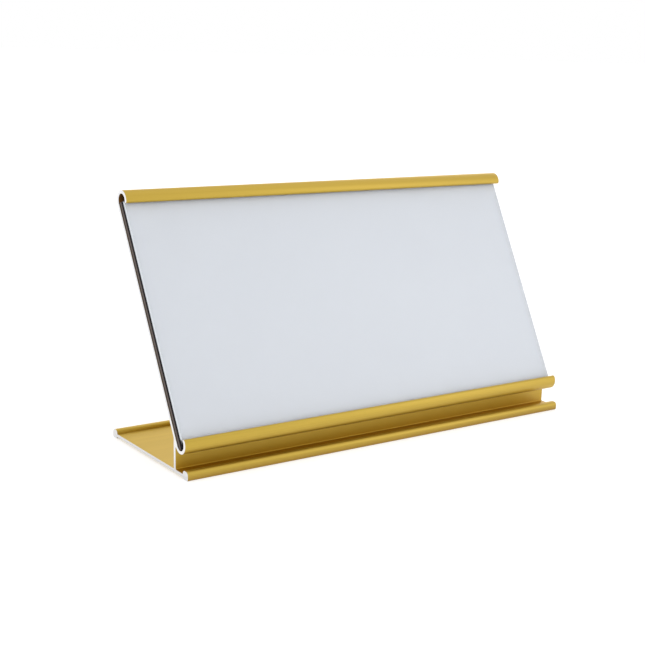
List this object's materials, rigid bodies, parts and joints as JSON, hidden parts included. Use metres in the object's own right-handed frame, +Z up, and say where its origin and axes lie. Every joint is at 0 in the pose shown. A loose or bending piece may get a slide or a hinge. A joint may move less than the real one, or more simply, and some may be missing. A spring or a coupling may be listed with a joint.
{
  "type": "desk name plate",
  "caption": "Leaning desk name plate: an extruded aluminium holder with a base plate, hook and channel, and loose sheets that slide in from the side.",
  "frame": {"origin": "on the ground, under the centre of the base", "axes": "+X along the plate's length, to the reader's right; the face looks towards -Y; +Z up"},
  "size_m": [0.15, 0.0504, 0.0804],
  "materials": {
    "gold_anodised_aluminium": "satin gold anodised, with bare cut ends",
    "dark_backing": "matte",
    "white_card": "matte",
    "clear_cover": "clear, matt face"
  },
  "bodies": {
    "holder": {"holder_profile": "gold_anodised_aluminium"},
    "backing": {"backing_sheet": "dark_backing"},
    "card": {"name_card": "white_card"},
    "cover": {"cover_sheet": "clear_cover"}
  },
  "joints": [
    {"name": "backing_slide", "type": "slide", "parent": "holder", "child": "backing", "axis": [1, 0, 0], "range_m": [-0.143, 0.143]},
    {"name": "card_slide", "type": "slide", "parent": "holder", "child": "card", "axis": [1, 0, 0], "range_m": [-0.143, 0.143]},
    {"name": "cover_slide", "type": "slide", "parent": "holder", "child": "cover", "axis": [1, 0, 0], "range_m": [-0.143, 0.143]}
  ]
}
